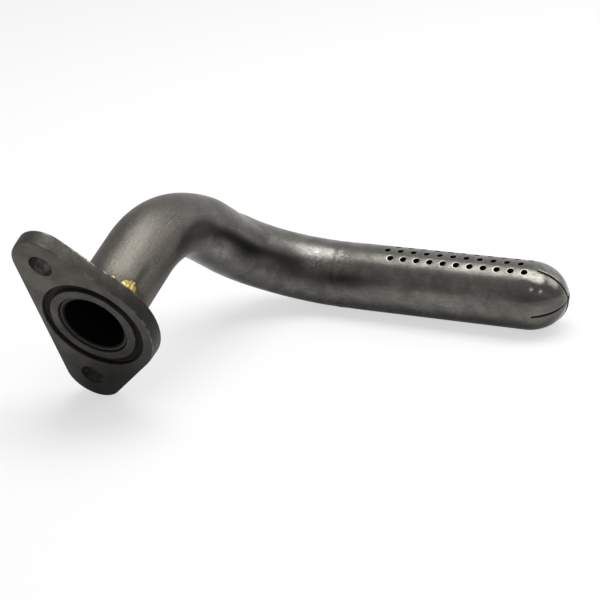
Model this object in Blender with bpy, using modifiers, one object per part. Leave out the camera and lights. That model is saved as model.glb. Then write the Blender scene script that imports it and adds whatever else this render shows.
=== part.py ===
# Oil pickup tube for an engine: a bent steel tube, brazed into a two-bolt flange with a seal groove.
# Its far end is drilled with a grid of small holes, and slit and pressed shut in four petals.
# Metres, +Z up. The whole part is modelled about the middle of the seal face and then laid down
# on the front edge of one flange ear and the side of its drilled length, the way it comes to rest.

import math

import bmesh
import bpy
from mathutils import Matrix, Vector

# Tube and its route, measured from the seal face
TUBE_DIAMETER = 0.0254
TUBE_WALL = 0.00165
LEG_LENGTH = 0.0355
FIRST_BEND_RADIUS = 0.0381
FIRST_BEND_ANGLE = 60.0
FIRST_BEND_AZIMUTH = 12.5
BETWEEN_BENDS = 0.0158
SECOND_BEND_RADIUS = 0.0381
SECOND_BEND_ANGLE = 78.0
SECOND_BEND_TWIST = 276.0

# The bends draw the tube in a little, and it opens out again to its full size past them
BEND_NECK = 0.95
NECK_RECOVERY = 0.008

# Drilled length, in rows that are staggered by half a pitch
LEAD_IN = 0.020
HOLE_DIAMETER = 0.0021
HOLE_PITCH = 0.0052
HOLES_PER_ROW = 11
HOLE_ROWS = 5
FIRST_ROW_ANGLE = -26.0
ROW_STEP = -20.5

# Closed end, from the last holes on: four petals, pressed together to a slightly pointed dome
DOME_LENGTH = 0.0145
SLIT_COUNT = 4
SLIT_ANGLE = -36.0
SLIT_SETBACK = 0.0039
SLIT_WIDTH = 0.0007
TIP_GAP = 0.0016

# Flange
PLATE_THICKNESS = 0.0058
BOLT_SPACING = 0.0525
BOLT_OFFSET = 0.0102
BOLT_HOLE_DIAMETER = 0.0086
EAR_RADIUS = 0.0107
COLLAR_WIDTH = 0.00295
GROOVE_WIDTH = 0.00295
GROOVE_DEPTH = 0.0022
RIM_WIDTH = 0.0037
EDGE_ROUNDING = 0.0006
TUBE_RECESS = 0.0008

# Brazed joint on the back of the flange
BRAZE_LEG = 0.0022
FIT_GAP = 0.0003

# How the part lies: turns about X, Y and Z that set one ear of the flange and the side of the
# drilled length on the ground, with the seal face towards -Y
LIE_TURN = (178.571, 69.42, 88.473)

# Derived sizes
TUBE_RADIUS = TUBE_DIAMETER / 2
BORE_RADIUS = TUBE_RADIUS + FIT_GAP
COLLAR_RADIUS = BORE_RADIUS + COLLAR_WIDTH
GROOVE_RADIUS = COLLAR_RADIUS + GROOVE_WIDTH
BULGE_RADIUS = GROOVE_RADIUS + RIM_WIDTH
DRILLED_LENGTH = HOLE_PITCH * (HOLES_PER_ROW - 1)
TAIL_LENGTH = LEAD_IN + DRILLED_LENGTH


def new_collection(name):
    collection = bpy.data.collections.new(name)
    bpy.context.scene.collection.children.link(collection)
    return collection


def new_material(name, colour, roughness, metallic):
    material = bpy.data.materials.new(name)
    material.use_nodes = True
    shader = material.node_tree.nodes["Principled BSDF"]
    shader.inputs["Base Color"].default_value = (*colour, 1.0)
    shader.inputs["Roughness"].default_value = roughness
    shader.inputs["Metallic"].default_value = metallic
    material.diffuse_color = (*colour, 1.0)
    return material


def add_object(name, data, collection):
    obj = bpy.data.objects.new(name, data)
    collection.objects.link(obj)
    return obj


def add_cutter(name, data):
    obj = add_object(name, data, cutters)
    obj.hide_render = True
    obj.display_type = "WIRE"
    return obj


def mesh_from_bmesh(name, bm):
    mesh = bpy.data.meshes.new(name)
    bm.to_mesh(mesh)
    bm.free()
    return mesh


def curve_to_mesh(curve_object, name, collection):
    """Make a plain closed mesh of a curve object, with its caps welded on, and remove the curve."""
    bpy.context.view_layer.update()
    evaluated = curve_object.evaluated_get(bpy.context.evaluated_depsgraph_get())
    mesh = bpy.data.meshes.new_from_object(evaluated)
    mesh.name = name
    bm = bmesh.new()
    bm.from_mesh(mesh)
    bmesh.ops.remove_doubles(bm, verts=bm.verts, dist=0.000005)
    bmesh.ops.recalc_face_normals(bm, faces=bm.faces)
    bm.to_mesh(mesh)
    bm.free()
    result = add_object(name, mesh, collection)
    result.matrix_world = curve_object.matrix_world.copy()
    bpy.data.objects.remove(curve_object)
    return result


def cut(obj, cutter, label):
    boolean = obj.modifiers.new(label, "BOOLEAN")
    boolean.operation = "DIFFERENCE"
    boolean.solver = "EXACT"
    boolean.object = cutter


def finish_smooth(obj, angle):
    obj.data.shade_smooth()
    obj.data.set_sharp_from_angle(angle=math.radians(angle))


# The tube's route

def turn(vector, axis, angle):
    return Matrix.Rotation(angle, 3, axis) @ vector


def ease(part):
    """From 0 to 1 with a level start and end."""
    return part * part * (3 - 2 * part)


def route_frames():
    """Follow the centre line from the seal face to the drilled length. Returns pairs of a point and
    how far the bends have drawn the tube in there, and the frame where the drilled length starts."""
    along = Vector((0, 0, -1))
    azimuth = math.radians(FIRST_BEND_AZIMUTH)
    side = Vector((math.cos(azimuth), math.sin(azimuth), 0))
    point = along * LEG_LENGTH
    stations = [(Vector((0, 0, 0)), 0.0), (point, 0.0)]
    bends = (
        (FIRST_BEND_RADIUS, FIRST_BEND_ANGLE, 0.0, BETWEEN_BENDS, 12, 0.0),
        (SECOND_BEND_RADIUS, SECOND_BEND_ANGLE, SECOND_BEND_TWIST, NECK_RECOVERY, 15, 1.0),
    )
    for radius, angle, twist, straight, steps, drawn in bends:
        side = turn(side, along, math.radians(twist))
        start = point
        sweep = math.radians(angle)
        for step in range(1, steps + 1):
            part = step / steps
            a = sweep * part
            if drawn == 0.0:
                draw = ease(part)
            else:
                draw = 1.0 - 0.8 * ease(max(0.0, 1.5 * part - 0.5))
            stations.append((start + radius * (math.sin(a) * along + (1 - math.cos(a)) * side), draw))
        point = stations[-1][0]
        along, side = (
            math.cos(sweep) * along + math.sin(sweep) * side,
            math.cos(sweep) * side - math.sin(sweep) * along,
        )
        if drawn == 0.0:
            point = point + along * straight
            stations.append((point, 1.0))
        else:
            stations.append((point + along * straight, 0.0))
    return stations, (point, along.normalized(), side.normalized())


def dome_profile(radius, length, steps):
    """Distance past the dome's start, and radius there, from the rim to just short of the tip."""
    rows = []
    for step in range(steps + 1):
        a = math.radians(88.5) * step / steps
        rows.append((length * math.sin(a), radius * math.cos(a)))
    return rows


def tube_body(name, radius, dome_length, start_offset, collection):
    """A round bar along the route with a domed end."""
    stations, (end, along, side) = route_frames()
    rows = [(Vector((0, 0, -start_offset)), radius)]
    for point, draw in stations[1:]:
        rows.append((point, radius - draw * (1 - BEND_NECK) * TUBE_RADIUS))
    for distance, r in dome_profile(radius, dome_length, 9):
        rows.append((end + along * (TAIL_LENGTH + distance), r))
    curve = bpy.data.curves.new(name, "CURVE")
    curve.dimensions = "3D"
    curve.twist_mode = "MINIMUM"
    curve.bevel_depth = radius
    curve.bevel_resolution = 18
    curve.use_fill_caps = True
    spline = curve.splines.new("POLY")
    spline.points.add(len(rows) - 1)
    for spot, (p, r) in zip(spline.points, rows):
        spot.co = (*p, 1.0)
        spot.radius = r / radius
    return curve_to_mesh(add_object(name + "_path", curve, collection), name, collection)


def drilled_frame():
    """Matrix whose Z runs along the drilled length and whose X is the side of the second bend."""
    _, (end, along, side) = route_frames()
    frame = Matrix((side, along.cross(side), along)).transposed().to_4x4()
    return Matrix.Translation(end) @ frame


def hole_cutters():
    """One small rod for each hole, set square to the tube's wall."""
    bm = bmesh.new()
    reach = TUBE_WALL * 3
    for row in range(HOLE_ROWS):
        angle = math.radians(FIRST_ROW_ANGLE + ROW_STEP * row)
        shift = -0.5 * HOLE_PITCH if row % 2 else 0.0
        for index in range(HOLES_PER_ROW):
            height = LEAD_IN + shift + HOLE_PITCH * index
            place = (
                Matrix.Translation((0, 0, height))
                @ Matrix.Rotation(angle, 4, "Z")
                @ Matrix.Translation((TUBE_RADIUS - TUBE_WALL / 2, 0, 0))
                @ Matrix.Rotation(math.pi / 2, 4, "Y")
            )
            bmesh.ops.create_cone(
                bm, cap_ends=True, segments=12, radius1=HOLE_DIAMETER / 2,
                radius2=HOLE_DIAMETER / 2, depth=reach, matrix=place,
            )
    cutter = add_cutter("hole_cutters", mesh_from_bmesh("hole_cutters", bm))
    cutter.matrix_world = drilled_frame()
    return cutter


def slit_cutter():
    """A star of thin wedges, one for each slit. They widen towards the tip, where the petals meet."""
    reach = TUBE_RADIUS * 1.3
    step = 2 * math.pi / SLIT_COUNT
    levels = (
        (TAIL_LENGTH + SLIT_SETBACK, SLIT_WIDTH),
        (TAIL_LENGTH + DOME_LENGTH + 0.002, TIP_GAP),
    )
    bm = bmesh.new()
    rings = []
    for height, width in levels:
        ring = []
        for index in range(SLIT_COUNT):
            angle = math.radians(SLIT_ANGLE) + step * index
            arm = Vector((math.cos(angle), math.sin(angle), 0)) * reach
            aside = Vector((-math.sin(angle), math.cos(angle), 0)) * width / 2
            corner = angle - step / 2
            depth = width / 2 / math.sin(step / 2)
            ring.append(bm.verts.new((depth * math.cos(corner), depth * math.sin(corner), height)))
            ring.append(bm.verts.new((*(arm - aside).xy, height)))
            ring.append(bm.verts.new((*(arm + aside).xy, height)))
        rings.append(ring)
    low, high = rings
    for i, vert in enumerate(low):
        after = (i + 1) % len(low)
        bm.faces.new((vert, low[after], high[after], high[i]))
    bm.faces.new(reversed(low))
    bm.faces.new(high)
    cutter = add_cutter("slit_cutter", mesh_from_bmesh("slit_cutter", bm))
    cutter.matrix_world = drilled_frame()
    return cutter


def make_tube():
    tube = tube_body("pickup_tube", TUBE_RADIUS, DOME_LENGTH, TUBE_RECESS, parts)
    bore = tube_body("tube_bore_cutter", TUBE_RADIUS - TUBE_WALL, DOME_LENGTH - TUBE_WALL, -0.003, cutters)
    bore.hide_render = True
    bore.display_type = "WIRE"
    cut(tube, bore, "bore")
    cut(tube, hole_cutters(), "holes")
    cut(tube, slit_cutter(), "slits")
    tube.data.materials.append(new_material("drawn_steel", (0.155, 0.152, 0.140), 0.38, 0.9))
    finish_smooth(tube, 35)
    return tube


# Flange

def flange_outline():
    """Two ears and a bulge round the bore, joined by their common tangents. Bore at the origin."""
    half = BOLT_SPACING / 2
    circles = (
        ((half, -BOLT_OFFSET), EAR_RADIUS),
        ((0.0, 0.0), BULGE_RADIUS),
        ((-half, -BOLT_OFFSET), EAR_RADIUS),
    )

    def tangent_angle(one, two):
        (x1, y1), r1 = one
        (x2, y2), r2 = two
        distance = math.hypot(x2 - x1, y2 - y1)
        return math.atan2(y2 - y1, x2 - x1) - math.acos((r1 - r2) / distance)

    count = len(circles)
    joints = [tangent_angle(circles[i], circles[(i + 1) % count]) for i in range(count)]
    outline = []
    for i, ((x, y), radius) in enumerate(circles):
        first = joints[i - 1]
        last = joints[i]
        while last < first:
            last += 2 * math.pi
        steps = max(6, round((last - first) / math.radians(8)))
        for step in range(steps + 1):
            a = first + (last - first) * step / steps
            outline.append((x + radius * math.cos(a), y + radius * math.sin(a)))
    return outline


def turned_ring(name, profile, steps, collection):
    """Turn a closed profile of (radius, height) points about Z."""
    bm = bmesh.new()
    verts = [bm.verts.new((r, 0, z)) for r, z in profile]
    for i, vert in enumerate(verts):
        bm.edges.new((vert, verts[(i + 1) % len(verts)]))
    ring = add_object(name, mesh_from_bmesh(name, bm), collection)
    screw = ring.modifiers.new("turn", "SCREW")
    screw.steps = steps
    screw.render_steps = steps
    screw.use_merge_vertices = True
    screw.merge_threshold = 0.00002
    return ring


def rod_cutter(name, radius, x, y):
    bm = bmesh.new()
    bmesh.ops.create_cone(
        bm, cap_ends=True, segments=40, radius1=radius, radius2=radius, depth=PLATE_THICKNESS * 3,
        matrix=Matrix.Translation((x, y, -PLATE_THICKNESS / 2)),
    )
    return add_cutter(name, mesh_from_bmesh(name, bm))


def make_flange():
    curve = bpy.data.curves.new("flange", "CURVE")
    curve.dimensions = "2D"
    curve.fill_mode = "BOTH"
    curve.extrude = PLATE_THICKNESS / 2
    spline = curve.splines.new("POLY")
    outline = flange_outline()
    spline.points.add(len(outline) - 1)
    for spot, (x, y) in zip(spline.points, outline):
        spot.co = (x, y, 0, 1.0)
    spline.use_cyclic_u = True
    blank = add_object("flange_blank", curve, parts)
    blank.location = (0, 0, -PLATE_THICKNESS / 2)
    flange = curve_to_mesh(blank, "flange", parts)
    edge = flange.modifiers.new("edge", "BEVEL")
    edge.width = EDGE_ROUNDING
    edge.segments = 2
    edge.limit_method = "ANGLE"
    edge.angle_limit = math.radians(50)
    groove = turned_ring("groove_cutter", (
        (GROOVE_RADIUS, 0.001),
        (GROOVE_RADIUS, -GROOVE_DEPTH),
        (COLLAR_RADIUS, -GROOVE_DEPTH),
        (COLLAR_RADIUS, 0.001),
    ), 56, cutters)
    groove.hide_render = True
    groove.display_type = "WIRE"
    cut(flange, rod_cutter("bore_cutter", BORE_RADIUS, 0, 0), "bore")
    cut(flange, groove, "groove")
    for index, x in enumerate((-BOLT_SPACING / 2, BOLT_SPACING / 2)):
        hole = rod_cutter(f"bolt_hole_cutter_{index + 1}", BOLT_HOLE_DIAMETER / 2, x, -BOLT_OFFSET)
        cut(flange, hole, f"bolt_hole_{index + 1}")
    flange.data.materials.append(new_material("flange_steel", (0.095, 0.092, 0.085), 0.52, 0.85))
    finish_smooth(flange, 35)
    return flange


def make_braze():
    """The hollow-faced ring of braze in the corner between the tube and the back of the flange."""
    top = -PLATE_THICKNESS - FIT_GAP
    inner = TUBE_RADIUS + FIT_GAP
    profile = []
    for step in range(7):
        a = math.radians(90) * step / 6
        profile.append((
            inner + BRAZE_LEG * (1 - 0.92 * math.sin(a)),
            top - BRAZE_LEG * (1 - 0.92 * math.cos(a)),
        ))
    profile.append((inner, top - BRAZE_LEG))
    profile.append((inner, top))
    profile.insert(0, (inner + BRAZE_LEG, top))
    ring = turned_ring("braze_fillet", profile, 48, parts)
    ring.data.materials.append(new_material("braze_brass", (0.42, 0.31, 0.12), 0.35, 0.9))
    ring.data.shade_smooth()
    return ring


def lay_down(pieces):
    """Turn the part to the way it lies, with its box centred on the origin and resting on Z = 0."""
    holder = add_object("lying_pose", None, parts)
    holder.empty_display_size = 0.01
    holder.rotation_euler = [math.radians(a) for a in LIE_TURN]
    for piece in [*pieces, *cutters.objects]:
        piece.parent = holder
    bpy.context.view_layer.update()
    graph = bpy.context.evaluated_depsgraph_get()
    spots = []
    for piece in pieces:
        evaluated = piece.evaluated_get(graph)
        mesh = evaluated.to_mesh()
        spots.extend(evaluated.matrix_world @ vert.co for vert in mesh.vertices)
        evaluated.to_mesh_clear()
    low = [min(spot[axis] for spot in spots) for axis in range(3)]
    high = [max(spot[axis] for spot in spots) for axis in range(3)]
    holder.location = (-(low[0] + high[0]) / 2, -(low[1] + high[1]) / 2, -low[2])


for old in list(bpy.data.objects):
    bpy.data.objects.remove(old)

parts = new_collection("oil_pickup_tube")
cutters = new_collection("cutters")
lay_down([make_tube(), make_flange(), make_braze()])
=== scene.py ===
import math
from bisect import bisect_right
from collections import namedtuple

import bmesh
import bpy
from bpy.props import FloatProperty, FloatVectorProperty, IntProperty, PointerProperty
from mathutils import Euler, Matrix, Vector, noise


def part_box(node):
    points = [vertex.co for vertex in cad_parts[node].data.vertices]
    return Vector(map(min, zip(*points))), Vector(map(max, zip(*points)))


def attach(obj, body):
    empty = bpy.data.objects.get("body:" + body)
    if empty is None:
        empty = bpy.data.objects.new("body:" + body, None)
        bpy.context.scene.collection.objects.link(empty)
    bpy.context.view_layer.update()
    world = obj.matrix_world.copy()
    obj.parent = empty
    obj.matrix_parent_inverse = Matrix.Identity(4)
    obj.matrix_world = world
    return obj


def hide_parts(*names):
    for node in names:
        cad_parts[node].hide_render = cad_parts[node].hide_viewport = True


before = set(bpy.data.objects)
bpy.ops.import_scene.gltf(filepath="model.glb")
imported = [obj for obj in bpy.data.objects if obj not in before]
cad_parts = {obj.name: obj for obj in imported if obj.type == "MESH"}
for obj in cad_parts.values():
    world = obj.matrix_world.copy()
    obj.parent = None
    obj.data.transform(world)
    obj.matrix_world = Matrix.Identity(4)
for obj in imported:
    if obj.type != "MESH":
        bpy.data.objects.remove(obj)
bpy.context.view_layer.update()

bl_info = {
    "name": "Oil Pickup Tube",
    "version": (1, 0, 0),
    "blender": (4, 5, 0),
    "location": "View3D > Sidebar > Pickup Tube",
    "description": "Builds the drilled and brazed oil pickup tube and a plain stage for it",
    "category": "Object",
}

GROUND = min(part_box(node)[0].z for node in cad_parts)

# How finely the pieces are drawn
LEG_STEPS = 32
FIRST_BEND_STEPS = 40
BETWEEN_STEPS = 14
SECOND_BEND_STEPS = 52
LEAD_STEPS = 13
CELL = 6
DOME_STEPS = 42
BELOW_HOLES = 12
ABOVE_HOLES = 78
EAR_STEPS = 40
SIDE_PARTS = 10
BOLT_HOLE_STEPS = 64
BORE_STEPS = 128
BRAZE_AROUND = 300
BRAZE_ACROSS = 22

# Half width of the floor, and how far it lies under the part
FLOOR_HALF = 3.0
FLOOR_DROP = 0.00005


# Sizes and colours


def length(name, text, default):
    return FloatProperty(name=name, description=text, default=default, min=0, unit="LENGTH", precision=5)


def angle(name, text, degrees):
    return FloatProperty(name=name, description=text, default=math.radians(degrees), subtype="ANGLE")


def number(name, text, default, **limits):
    return FloatProperty(name=name, description=text, default=default, **limits)


def count(name, text, default, **limits):
    return IntProperty(name=name, description=text, default=default, **limits)


def triple(name, text, subtype, default):
    return FloatVectorProperty(name=name, description=text, default=default, subtype=subtype, precision=6)


def colour(name, text, default):
    return FloatVectorProperty(name=name, description=text, default=default, subtype="COLOR", min=0, max=1)


class PickupTubeRoute(bpy.types.PropertyGroup):
    diameter: length("Diameter", "Outside diameter of the tube", 0.0254)
    wall: length("Wall", "Thickness of the tube's wall", 0.00165)
    recess: length("Recess", "How far the tube's open end stands back from the seal face", 0.0008)
    leg: length("Leg", "Straight length from the seal face to the first bend", 0.0355)
    bend_radius: length("Bend radius", "Radius of both bends at the tube's middle", 0.0381)
    first_bend: angle("First bend", "Angle of the bend next to the leg", 60)
    azimuth: angle("Azimuth", "Side to which the first bend leaves the flange", 12.5)
    between: length("Between bends", "Straight length between the two bends", 0.0158)
    second_bend: angle("Second bend", "Angle of the bend before the drilled length", 78)
    twist: angle("Twist", "Turn from the plane of the first bend to that of the second", 276)
    neck: number("Neck", "Share of the diameter kept in the bends", 0.95, min=0.8, max=1)
    oval: length("Oval", "How far the bends press the tube out of round", 0.0003)
    lie: triple("Lying turn", "Turns about X, Y and Z that lay the part down", "EULER",
                [math.radians(a) for a in (178.571, 69.42, 88.473)])
    place: triple("Place", "Where the middle of the seal face stands", "TRANSLATION",
                  (-0.05476213, -0.05388841, 0.03463446))


class PickupTubeEnd(bpy.types.PropertyGroup):
    lead_in: length("Lead-in", "Plain length before the middle of the first holes", 0.020)
    hole: length("Hole", "Diameter of a drilled hole", 0.0021)
    pitch: length("Pitch", "Distance between the holes of a row", 0.0052)
    holes: count("Holes", "Holes in a row", 11, min=2)
    rows: count("Rows", "Rows of holes", 5, min=1)
    first_row: angle("First row", "Angle of the lowest row of holes", -26)
    row_step: angle("Row step", "Angle between rows", 20.5)
    dimple: length("Dimple", "How deep the wall is pressed in round a hole", 0.00004)
    dome: length("Dome", "Length of the closed end", 0.0145)
    slit: angle("Slit", "Angle of the first slit", -36)
    setback: length("Setback", "Distance from the dome's start to the slits' start", 0.0039)
    slit_width: length("Slit width", "Gap between two petals", 0.0008)
    tip_gap: length("Tip gap", "Gap between the petals at the tip", 0.0018)
    seed: count("Seed", "Seed for the wear of the holes", 7)


class PickupFlangeShape(bpy.types.PropertyGroup):
    thickness: length("Thickness", "Thickness of the plate", 0.0058)
    spacing: length("Bolt spacing", "Distance between the bolt holes", 0.0525)
    offset: length("Bolt offset", "Distance from the tube's middle to the line of the bolt holes", 0.0102)
    bolt_hole: length("Bolt hole", "Diameter of a bolt hole", 0.0086)
    ear: length("Ear", "Radius of an ear", 0.0107)
    bore: length("Bore", "Radius of the bore that holds the tube", 0.0130)
    collar: length("Collar", "Outer radius of the collar inside the groove", 0.01595)
    groove: length("Groove", "Outer radius of the seal groove", 0.0189)
    depth: length("Groove depth", "Depth of the seal groove", 0.0022)
    bulge: length("Bulge", "Radius of the plate round the groove", 0.0226)
    soft_edge: length("Soft edge", "Rounding of the front edge", 0.0003)
    back_edge: length("Back edge", "Chamfer of the back edge", 0.00035)
    flare: length("Flare", "How far the back of the edge stands proud of its front", 0.0003)


class PickupFinish(bpy.types.PropertyGroup):
    steel_dark: colour("Steel, dark", "Darker tone of the tube's steel", (0.088, 0.086, 0.078))
    steel_light: colour("Steel, light", "Lighter tone of the tube's steel", (0.150, 0.146, 0.134))
    # Rubbed steel, also painted as highlights on the tube
    rubbed_and_highlight: colour("Scuffed", "Rubbed steel", (0.34, 0.33, 0.30))
    stained: colour("Stained", "Brown oil and rust stains", (0.115, 0.076, 0.045))
    dulled: colour("Dulled", "Brownish film on the leg", (0.104, 0.091, 0.074))
    pitted: colour("Pitted", "Small pits in the film", (0.035, 0.030, 0.024))
    # Painted shade along the bends, under the drilled length and next to the flange
    darkened: colour("Darkened", "Steel under old oil", (0.026, 0.025, 0.023))
    # The heat tints reach far enough along the tube to stand in also for painted shade next to the flange
    straw: colour("Straw", "Heat tint some way from the braze", (0.105, 0.082, 0.060))
    blued: colour("Blued", "Heat tint next to the braze", (0.070, 0.058, 0.092))
    # Also painted as glints on the dents of the closed end
    burnished: colour("Burnished", "Bright rims of the drilled holes", (0.50, 0.48, 0.43))
    # Painted shade: black inside the tube, in the holes and along the slit edges
    bore: colour("Bore", "Black inside of the tube", (0.004, 0.004, 0.004))
    plate_dark: colour("Plate, dark", "Darker tone of the flange", (0.070, 0.066, 0.056))
    plate_light: colour("Plate, light", "Lighter tone of the flange", (0.110, 0.105, 0.088))
    plate_side: colour("Plate, side", "Sheared edge of the flange", (0.030, 0.029, 0.026))
    plate_scraped: colour("Plate, scraped", "Scrapes on the sheared edge", (0.15, 0.145, 0.125))
    plate_speck: colour("Plate, specks", "Light specks on the flange", (0.20, 0.19, 0.17))
    # Also painted as highlight lines along the plate's edges
    plate_worn_and_highlight: colour("Plate, worn", "Bare steel along the flange's corners", (0.55, 0.53, 0.48))
    # Painted shade towards the lower ear and on the side wall by the bulge
    plate_painted_shade: colour("Plate, oily", "Oil film on the flange", (0.010, 0.010, 0.009))
    # Painted shade in the groove, the bore and the bolt holes
    plate_painted_recess_shade: colour("Plate, sunk", "Dirt in the groove and the holes", (0.018, 0.018, 0.017))
    plate_fleck: colour("Plate, flecks", "Rust flecks in the bolt holes", (0.15, 0.135, 0.11))
    plate_blued: colour("Plate, blued", "Heat tint on the flange", (0.075, 0.055, 0.075))
    brass: colour("Brass", "Bare braze metal", (0.43, 0.31, 0.095))
    brass_deep: colour("Brass, deep", "Deeper tone of the bare braze", (0.40, 0.27, 0.07))
    brass_dirty: colour("Brass, dirty", "Flux left on the bare braze", (0.14, 0.13, 0.055))
    burnt: colour("Burnt", "Braze darkened by heat", (0.075, 0.060, 0.045))
    burnt_light: colour("Burnt, light", "Lighter tone of the burnt braze", (0.13, 0.10, 0.06))
    floor: colour("Floor", "Pale floor", (0.80, 0.80, 0.80))


class PickupStage(bpy.types.PropertyGroup):
    lens: number("Lens", "Focal length in millimetres, on a 36 mm sensor", 94.381)
    camera: triple("Camera", "Where the camera stands", "TRANSLATION", (0.235527, -0.442099, 0.255779))
    aim: triple("Aim", "Direction in which the camera looks", "XYZ", (-0.43357, 0.80002, -0.41472))
    upright: triple("Upright", "Direction of the picture's upper edge", "XYZ", (-0.11623, 0.40673, 0.90612))
    overhead: number("Overhead", "Power of the soft light overhead, in watts", 6.2)
    side: number("Side", "Power of the soft light behind on the right, in watts", 1.8)
    surround: number("Surround", "Brightness of the plain surroundings", 0.48)
    behind: number("Behind", "Brightness of the surroundings behind the part", 1.0)


# Small helpers


def ease(part):
    """Zero up to 0, one from 1 on, and a soft rise between."""
    part = min(1.0, max(0.0, part))
    return part * part * (3 - 2 * part)


def stretch(x, start, rise, end, fall):
    """One between start and end, with soft ends."""
    return ease((x - start) / rise) * (1 - ease((x - end) / fall))


def bell(value, middle, width):
    return math.exp(-(((value - middle) / width) ** 2))


def spread(start, end, steps):
    return [start + (end - start) * i / steps for i in range(steps + 1)]


def split_side(one, two, parts):
    """Points from one corner up to the next, without the next."""
    return [tuple(a + (b - a) * i / parts for a, b in zip(one, two)) for i in range(parts)]


def wrap(a):
    """An angle between -pi and pi."""
    return (a + math.pi) % (2 * math.pi) - math.pi


def beside(a, degrees, width):
    """A soft patch round an angle on the tube, with its width in radians."""
    return bell(wrap(a - math.radians(degrees)), 0, width)


def lying_matrix(route):
    return Matrix.LocRotScale(Vector(route.place), Euler(route.lie), None)


def add_object(name, data):
    obj = bpy.data.objects.new(name, data)
    bpy.context.scene.collection.objects.link(obj)
    return obj


def store(mesh, key, numbers):
    """Store a number with each vertex."""
    mesh.attributes.new(key, "FLOAT", "POINT").data.foreach_set("value", numbers)


def mesh_from(name, verts, faces, **values):
    """A mesh with a float attribute for each further argument, one value to a vertex."""
    mesh = bpy.data.meshes.new(name)
    mesh.from_pydata(verts, [], faces)
    for key, numbers in values.items():
        store(mesh, key, numbers)
    return mesh


def turn_outwards(mesh):
    bm = bmesh.new()
    bm.from_mesh(mesh)
    bmesh.ops.recalc_face_normals(bm, faces=bm.faces)
    bm.to_mesh(mesh)
    bm.free()


def finish_piece(obj, name, node, material):
    """Name the piece, ride it on the body, and let it stand for its CAD node."""
    obj.name = name
    obj.data.name = name
    obj.data.materials.clear()
    obj.data.materials.append(material)
    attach(obj, "root")
    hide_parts(node)


# Node trees


class Tree:
    """Adds nodes to a tree and links them in reading order."""

    def __init__(self, tree):
        self.tree = tree

    def fill(self, node, inputs):
        """Link or set the inputs of a node."""
        for key, value in inputs.items():
            if isinstance(value, bpy.types.NodeSocket):
                self.tree.links.new(value, node.inputs[key])
            else:
                node.inputs[key].default_value = value

    def add(self, kind, inputs=None, **settings):
        node = self.tree.nodes.new(kind)
        for key, value in settings.items():
            setattr(node, key, value)
        self.fill(node, inputs or {})
        return node

    def math(self, operation, *values):
        return self.add("ShaderNodeMath", dict(enumerate(values)), operation=operation).outputs[0]

    def plus(self, one, two):
        return self.math("ADD", one, two)

    def times(self, one, two):
        return self.math("MULTIPLY", one, two)

    def vector(self, operation, *values):
        node = self.add("ShaderNodeVectorMath", dict(enumerate(values)), operation=operation)
        return node.outputs["Vector"]

    def scaled(self, vector, factor):
        node = self.add("ShaderNodeVectorMath", {"Vector": vector, "Scale": factor}, operation="SCALE")
        return node.outputs["Vector"]


def new_geometry_tree(name, inputs):
    """A tree with a geometry and the named inputs, and the sockets that give them."""
    tree = bpy.data.node_groups.new(name, "GeometryNodeTree")
    tree.interface.new_socket("Geometry", in_out="OUTPUT", socket_type="NodeSocketGeometry")
    tree.interface.new_socket("Geometry", in_out="INPUT", socket_type="NodeSocketGeometry")
    for label, kind in inputs.items():
        tree.interface.new_socket(label, in_out="INPUT", socket_type="NodeSocket" + kind)
    t = Tree(tree)
    return tree, t, t.add("NodeGroupInput").outputs


def close_geometry_tree(t, geometry, material):
    real = t.add("GeometryNodeRealizeInstances", {0: geometry}).outputs[0]
    dressed = t.add("GeometryNodeSetMaterial", {"Geometry": real, "Material": material}).outputs[0]
    t.add("NodeGroupOutput", {0: dressed})


def run_geometry_tree(obj, tree, values):
    """Run a tree on an object and keep the result as its plain mesh."""
    modifier = obj.modifiers.new(tree.name, "NODES")
    modifier.node_group = tree
    for item in tree.interface.items_tree:
        if item.item_type == "SOCKET" and item.in_out == "INPUT" and item.name in values:
            modifier[item.identifier] = values[item.name]
    bpy.context.view_layer.update()
    evaluated = obj.evaluated_get(bpy.context.evaluated_depsgraph_get())
    mesh = bpy.data.meshes.new_from_object(evaluated)
    obj.modifiers.remove(modifier)
    flat = obj.data
    obj.data = mesh
    bpy.data.meshes.remove(flat)


def perforation_tree():
    """Sets the one-hole patch out in staggered rows on the unrolled wall."""
    tree, t, given = new_geometry_tree("perforations", {
        "Holes": "Int", "Rows": "Int", "Pitch": "Float", "Row Step": "Float",
        "Start": "Vector", "Seed": "Int", "Material": "Material",
    })
    across = t.times(given["Pitch"], t.math("SUBTRACT", given["Holes"], 1.0))
    upwards = t.times(given["Row Step"], t.math("SUBTRACT", given["Rows"], 1.0))
    grid = t.add("GeometryNodeMeshGrid", {
        "Size X": across, "Size Y": upwards, "Vertices X": given["Holes"], "Vertices Y": given["Rows"],
    }).outputs["Mesh"]
    spot = t.add("GeometryNodeInputPosition").outputs[0]
    high = t.plus(t.add("ShaderNodeSeparateXYZ", {0: spot}).outputs["Y"], t.times(upwards, 0.5))
    row = t.math("ROUND", t.math("DIVIDE", high, given["Row Step"]))
    stagger = t.times(t.math("MODULO", row, 2.0), t.times(given["Pitch"], -0.5))
    back = t.add("ShaderNodeCombineXYZ", {
        "X": t.plus(stagger, t.times(across, 0.5)), "Y": t.times(upwards, 0.5),
    }).outputs[0]
    moved = t.add("GeometryNodeSetPosition", {
        "Geometry": grid, "Offset": t.vector("ADD", back, given["Start"]),
    }).outputs[0]
    patches = t.add("GeometryNodeInstanceOnPoints", {
        "Points": moved, "Instance": given["Geometry"],
    }).outputs[0]
    chance = t.add("FunctionNodeRandomValue", {"Seed": given["Seed"]}, data_type="FLOAT").outputs[1]
    marked = t.add("GeometryNodeStoreNamedAttribute", {
        "Geometry": patches, "Name": "chance", "Value": chance,
    }, data_type="FLOAT", domain="INSTANCE").outputs[0]
    close_geometry_tree(t, marked, given["Material"])
    return tree


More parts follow.
